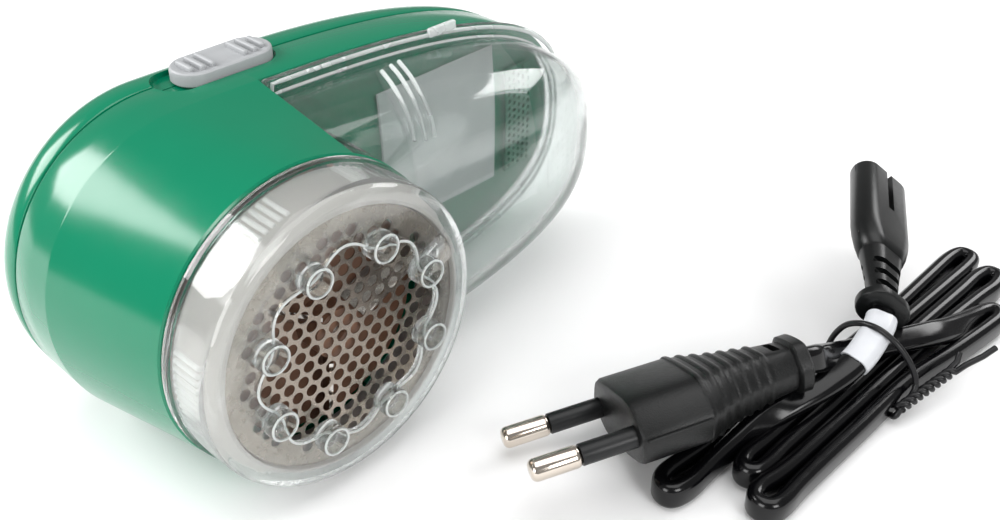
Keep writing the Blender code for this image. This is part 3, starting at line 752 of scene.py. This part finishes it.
def make_slide_switch():
    half = SWITCH_HALF - 0.15
    low, high = SWITCH_X - SWITCH_REACH, SWITCH_X + SWITCH_REACH
    rings = []
    for y, drawn in (
        (POCKET_Y + 0.3, 0.3), (POCKET_Y + 0.6, 0), (31.4, 0), (31.8, 0.12), (32.0, 0.4), (32.0, 1.3), (31.75, 1.7),
    ):
        rings.append(stadium(low + drawn, high - drawn, half - drawn, y))
    cap = joined([loft(rings), block((SWITCH_X - 2.6, 24.6, -1.7), (SWITCH_X + 2.6, POCKET_Y + 0.4, 2.1))])
    for side in (1, -1):
        for step in range(3):
            x = SWITCH_X + side * (3.4 + 2.05 * step)
            reach = half - (1.6, 1.6, 2.2)[step]
            ridge = block((x - 0.5, 31.2, SWITCH_Z - reach), (x + 0.5, 32.75, SWITCH_Z + reach), 0.4)
            mesh = bpy.data.meshes.new("part")
            ridge.to_mesh(mesh)
            ridge.free()
            cap.from_mesh(mesh)
            bpy.data.meshes.remove(mesh)
    piece("slide_switch", cap, GREY, "switch", ["switch_cap"])


# ---------------------------------------------------------------- the lead

def axes_at(spot, turn):
    return LEAD @ Matrix.Translation(spot) @ Euler([math.radians(angle) for angle in turn]).to_matrix().to_4x4()


PLUG_AXES = axes_at((4.6, -60.2, 10.2), (-25, -7, -27.4))
CONNECTOR_AXES = axes_at((62.0, -79.4, 13.2), (38, -5, 31))
PLUG_SECTIONS = (
    (0, 12.7, 5.4), (0.25, 13.25, 5.95), (0.9, 13.6, 6.3), (13, 13.2, 6.3), (15, 12.2, 6.1), (20, 8.8, 5.4),
    (27, 6.4, 4.6), (33.2, 5.2, 4.1), (33.4, 5.9, 4.6), (33.7, 6.2, 4.9), (35.6, 6.2, 4.9), (36, 5.8, 4.5),
)


def section_at(sections, x):
    for (x0, *a), (x1, *b) in zip(sections, sections[1:]):
        if x <= x1:
            share = (x - x0) / (x1 - x0)
            return [p + (q - p) * share for p, q in zip(a, b)]
    return sections[-1][1:]


def rounded_hexagon(x, half_width, half_thick):
    """A six-sided ring with its corners cut three times over."""
    shoulder = 0.66 * half_width
    corners = [(half_width, 0), (shoulder, half_thick), (-shoulder, half_thick)]
    corners += [(-half_width, 0), (-shoulder, -half_thick), (shoulder, -half_thick)]
    ring = [Vector(corner) for corner in corners]
    for share in (0.16, 0.25, 0.25):
        cut = []
        for a, b in zip(ring, ring[1:] + ring[:1]):
            cut += [a.lerp(b, share), a.lerp(b, 1 - share)]
        ring = cut
    return [(x, point.x, point.y) for point in ring]


def make_plug():
    spots = sorted({section[0] for section in PLUG_SECTIONS} | {12.9 + 0.29 * step for step in range(60)})
    rings = []
    for x in spots:
        half_width, half_thick = section_at(PLUG_SECTIONS, x)
        rib = max(0.0, math.sin(math.tau * (x - 13) / 2.32)) ** 0.5 if 13 < x < 29.3 else 0
        rings.append(rounded_hexagon(x, half_width + 0.15 * rib, half_thick + 0.42 * rib))
    body = loft(rings)
    slots = [block((30.2, -2.4, low), (31.7, 2.4, low + 4), 0.3) for low in (2.8, -6.8)]
    body = combine(body, joined(slots))
    line = []
    for side in (1, -1):
        line.append(bar((0.9, side * 13.35, 0), (12.9, side * 13.0, 0), 0.22, 8))
    piece("plug_grip", body, PLUG_PVC, "housing", ["plug_body"], PLUG_AXES, 32)
    piece("plug_mould_line", joined(line), PLUG_PVC, "housing", (), PLUG_AXES)
    pins = [bar((-9.9, y, 0), (-19, y, 0), 2.0, 32, 1.1) for y in (9.3, -9.3)]
    sleeves = [bar((0.2, y, 0), (-10.0, y, 0), 1.92, 32, 0.1) for y in (9.3, -9.3)]
    piece("plug_contacts", joined(pins), NICKEL, "housing", ["plug_pin_1", "plug_pin_2"], PLUG_AXES)
    names = ["pin_sleeve_1", "pin_sleeve_2"]
    piece("plug_sleeves", joined(sleeves), SLEEVE_PVC, "housing", names, PLUG_AXES)


CONNECTOR_SECTIONS = (
    (0, 5.0, 3.6, 0), (0.3, 5.5, 4.1, 0), (0.6, 5.6, 4.2, 0), (2.0, 5.6, 4.2, 0), (2.4, 5.2, 3.8, 0),
    (2.7, 3.2, 2.5, 0), (3.4, 3.0, 2.3, 0), (10, 3.8, 2.6, 0), (16.8, 4.8, 3.1, 0), (17.2, 5.2, 3.4, 0),
    (19.5, 6.0, 3.6, 0.2), (22.5, 6.7, 3.65, 0.9), (25, 7.0, 3.6, 1.5), (44.3, 7.0, 3.5, 1.5),
    (44.8, 6.85, 3.35, 1.45), (45, 6.6, 3.1, 1.3),
)


def eight_ring(x, half_width, half_thick, dent, points=64):
    """A ring of two round lobes side by side; dent is the depth of the waist between them."""
    ring = []
    for step in range(points):
        turn = math.tau * (step + 0.5) / points
        across, up = math.cos(turn), math.sin(turn)
        middle = (half_width - half_thick) * (1 if across > 0 else -1)
        y = middle + half_thick * across
        waist = dent * math.exp(-((y / 1.5) ** 2))
        ring.append((x, y, up * half_thick - waist * (1 if up > 0 else -1)))
    return ring


def make_connector():
    body = loft([eight_ring(*section) for section in CONNECTOR_SECTIONS])
    slots = []
    for x in (5.2, 8.4, 11.6):
        for low in (1.2, -7.2):
            slots.append(block((x, -2.6 - 0.1 * x, low), (x + 1.5, 2.6 + 0.1 * x, low + 6), 0.3))
    body = combine(body, joined(slots))
    body = combine(body, joined([bar((27, y, 0), (50, y, 0), 1.5, 24) for y in (4.1, -4.1)]))
    grooves = [block((31, -0.8, low), (46, 0.8, low + 5), 0.3) for low in (1.0, -6.0)]
    body = combine(body, joined(grooves))
    names = ["connector_body", "connector_relief"]
    piece("appliance_connector", body, CONNECTOR_PVC, "housing", names, CONNECTOR_AXES, 32)
    seams = [bar((20, side * 6.2, 0), (44.4, side * 6.98, 0), 0.12, 8) for side in (1, -1)]
    piece("connector_mould_line", joined(seams), CONNECTOR_PVC, "housing", (), CONNECTOR_AXES)


CORD_WIDTH, CORD_THICK = 5.4, 3.2

# Centreline of the lead from the connector to the plug: x, y, z and the roll from standing on edge, in degrees
ROUTE = (
    (61.9, -79.5, 13.2, 75), (58.5, -80.8, 12.9, 80), (54.5, -81.6, 12.1, 85), (50, -82, 10.9, 85),
    (45, -81.6, 9.8, 80), (39, -80.4, 8.9, 75), (33, -78.4, 7.8, 60), (27, -76.4, 6.3, 30), (20, -75.1, 4.2, 8),
    (13, -74.8, 3.3, 0), (7.5, -75, 3.0, 0), (3.9, -74.3, 2.9, 0), (2.9, -72.8, 2.9, 0), (4.0, -71.0, 2.9, 0),
    (7.5, -70.4, 2.9, 0), (16, -71.4, 2.9, 0), (28, -73.0, 2.9, 0), (42, -74.8, 2.9, 0), (57, -75.4, 2.9, 0),
    (75, -75.6, 2.9, 0), (92, -75.2, 2.9, 0), (102, -75, 2.9, 0), (106.2, -75.7, 2.9, 0),
    (107, -77.2, 2.9, 0), (106.1, -78.9, 2.9, 0), (102, -79.4, 2.9, 0), (92, -79.3, 2.9, 0), (75, -79, 2.9, 0),
    (57, -78.7, 2.9, 0), (40, -78.6, 2.9, 0), (26, -78.5, 2.9, 0), (20, -78.3, 2.9, 0), (17.2, -78.8, 2.9, 0),
    (16.3, -80.2, 2.9, 0), (17.3, -81.7, 2.9, 0), (20, -82.1, 2.9, 0), (26, -81.9, 2.9, 0), (40, -82, 2.9, 0),
    (57, -82, 2.9, 0), (75, -82.3, 2.9, 0), (92, -82.6, 2.9, 0), (99, -82.6, 2.9, 0), (103.2, -83.3, 2.9, 0),
    (104.1, -84.8, 2.9, 0), (103.1, -86.4, 2.9, 0), (99, -87, 2.9, 0), (92, -86.4, 2.9, 0),
    (75, -85.5, 2.9, 0), (57, -85.4, 2.9, 0), (40, -85.3, 2.9, 0), (22, -85.1, 2.9, 0), (15, -84.3, 2.9, 0),
    (12.1, -84.9, 2.9, 0), (11.3, -86.6, 2.9, 0), (12.2, -88.3, 2.9, 0), (15, -88.9, 2.9, 0),
    (22, -88.6, 2.9, 0), (40, -88.7, 2.9, 0), (57, -88.8, 2.9, 0), (72, -90.9, 2.9, 0), (84, -92.3, 2.9, 0),
    (89.4, -92.5, 2.9, 0), (91.4, -90.8, 2.9, 0), (89.3, -89.4, 3.1, 0), (84, -88.9, 4.0, 20),
    (76, -88, 5.9, 50), (70, -86.5, 7.4, 70), (63, -83.5, 8.0, 80), (57, -80.2, 7.9, 84), (51, -78.2, 8.9, 80),
    (46.5, -77.6, 10.4, 65), (42.5, -77.9, 12.4, 40), (39.5, -77.9, 13.9, 20), (35.8, -76.4, 14.5, 0),
)


def ribbon_rings(line, width, thick, points=28):
    """Stadium rings across a rolled line."""
    half = thick / 2
    straight = (width - thick) / 2
    rings = []
    for number, spot in enumerate(line):
        after = line[min(number + 1, len(line) - 1)]
        before = line[max(number - 1, 0)]
        along = (after - before).to_3d().normalized()
        side = along.cross(Vector((0, 0, 1))).normalized()
        up = side.cross(along)
        roll = math.radians(spot.w)
        wide = up * math.cos(roll) + side * math.sin(roll)
        thin = side * math.cos(roll) - up * math.sin(roll)
        ring = []
        for step in range(points):
            turn = math.tau * (step + 0.5) / points
            lobe = straight if math.cos(turn) > 0 else -straight
            ring.append(spot.to_3d() + wide * (lobe + half * math.cos(turn)) + thin * half * math.sin(turn))
        rings.append(ring)
    return rings


def make_lead():
    line = smooth_path(ROUTE, 6)
    names = ["plug_cord", "cord_hank", "connector_cord"]
    cable = loft(ribbon_rings(line, CORD_WIDTH, CORD_THICK))
    lead = piece("lead_cord", cable, CORD_PVC, "housing", names, LEAD, 50)
    sleeve = [spot for spot in line if 47.5 < spot.x < 60.6][:40]
    sleeve = [spot for spot in sleeve if spot.z > 9.5]
    label = loft(ribbon_rings(sleeve, CORD_WIDTH + 0.7, CORD_THICK + 0.6))
    piece("cord_sticker", label, STICKER, "housing", ["cord_label"], LEAD)
    loop = [
        (50.2, -90.6, 3.2), (53.6, -91.4, 3.8), (55.6, -91.3, 6.0), (55.9, -89.4, 9.4), (55.2, -86.2, 12.9),
        (54.9, -82.4, 14.6), (55.2, -78.4, 13.8), (55.8, -75.0, 11.0), (55.8, -72.9, 6.2), (55.6, -73.0, 1.4),
        (54.5, -78, 0.75), (52.2, -86, 0.75), (50.4, -89.9, 0.9), (49.4, -91.2, 2.0), (50.4, -91.6, 3.4),
    ]
    twist = []
    for phase in (0, math.pi):
        strand = []
        for step in range(64):
            share = step / 63
            centre = Vector((50.4, -91.3, 3.3)).lerp(Vector((64.3, -94.3, 5.8)), share)
            turn = phase + math.tau * 4.5 * share
            strand.append(centre + 0.58 * Vector((0.15 * math.sin(turn), math.cos(turn), math.sin(turn))))
        twist.append(strand)
    twist[0] += [Vector(p) for p in ((67, -95.6, 6.4), (70.5, -97.2, 7.4), (73.4, -98.2, 8.4))]
    twist[1] += [Vector(p) for p in ((66, -94.2, 7.0), (67.4, -93.8, 8.2))]
    wires = [tube(smooth_path(loop, 8), 0.6, 12)] + [tube(strand, 0.6, 12) for strand in twist]
    piece("cord_tie", joined(wires), TIE_PVC, "housing", ["wire_tie"], LEAD)
    pieces = ("plug_grip", "plug_contacts", "plug_sleeves", "plug_mould_line", "appliance_connector")
    pieces += ("connector_mould_line", "cord_sticker", "cord_tie")


make_handle_shell()
make_back_cover()
make_lint_box()
make_guard()
make_head_ring()
make_foil()
make_vents()
make_slide_switch()
make_plug()
make_connector()
make_lead()

# Finishes of the nodes that keep their own shape
KEPT = {
    PLATE_FOIL: ["rating_plate"],
    BROWN: ["fan_wheel", "blade_carrier"],
    COPPER: ["motor_plate"],
    BLADE_STEEL: ["blade_1", "blade_2", "blade_3", "motor_shaft", "motor_can", "plate_screw_1", "plate_screw_2"],
    BOARD: ["charging_board"],
}
for finish, nodes in KEPT.items():
    for node in nodes:
        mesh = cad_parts[node].data
        mesh.materials.clear()
        mesh.materials.append(finish)


# ---------------------------------------------------------------- floor, light and camera

def soft_light(name, spot, target, size, power, colour="ffffff"):
    data = bpy.data.lights.new(name, "AREA")
    data.shape = "RECTANGLE"
    data.size, data.size_y = size
    data.energy = power
    data.color = linear(colour)[:3]
    lamp = bpy.data.objects.new(name, data)
    bpy.context.scene.collection.objects.link(lamp)
    aim = Vector(target) - Vector(spot)
    lamp.matrix_world = Matrix.Translation(spot) @ aim.to_track_quat("-Z", "Y").to_matrix().to_4x4()
    return lamp


floor_mesh = bpy.data.meshes.new("floor")
floor_form = bmesh.new()
bmesh.ops.create_grid(floor_form, x_segments=1, y_segments=1, size=3)
floor_form.to_mesh(floor_mesh)
floor_form.free()
floor, floor_tree, floor_shader, floor_where = blank("matt white paper", roughness=0.8)
floor_shader.inputs["Base Color"].default_value = linear("f7f7f7")
floor_mesh.materials.append(floor)
floor_object = bpy.data.objects.new("floor", floor_mesh)
bpy.context.scene.collection.objects.link(floor_object)

world = bpy.data.worlds.new("studio")
world.use_nodes = True
world.node_tree.nodes["Background"].inputs["Color"].default_value = linear("ffffff")
world.node_tree.nodes["Background"].inputs["Strength"].default_value = 0.3
bpy.context.scene.world = world
soft_light("side softbox", (-0.36, 0.52, 0.42), (-0.03, 0.0, 0.04), (0.4, 0.36), 4.6)
soft_light("overhead", (0.1, -0.1, 1.1), (0.02, -0.02, 0.02), (1.0, 1.0), 7.5)
soft_light("front", (-0.15, -0.75, 0.4), (0.0, -0.04, 0.03), (0.3, 0.3), 2.6)
soft_light("left", (-0.75, -0.1, 0.3), (-0.03, -0.02, 0.03), (0.35, 0.4), 3.0)
soft_light("right", (0.6, -0.1, 0.35), (0.03, -0.03, 0.02), (0.3, 0.2), 1.2)

camera_data = bpy.data.cameras.new("camera")
camera_data.lens = 41.4
camera_data.sensor_width = 36
camera_data.clip_start = 0.01
camera = bpy.data.objects.new("camera", camera_data)
camera.location = (-0.11841, -0.15091, 0.14649)
camera.rotation_euler = (math.radians(56.0), 0, math.radians(-45.894))
bpy.context.scene.collection.objects.link(camera)
bpy.context.scene.camera = camera
bpy.context.scene.view_settings.view_transform = "Standard"
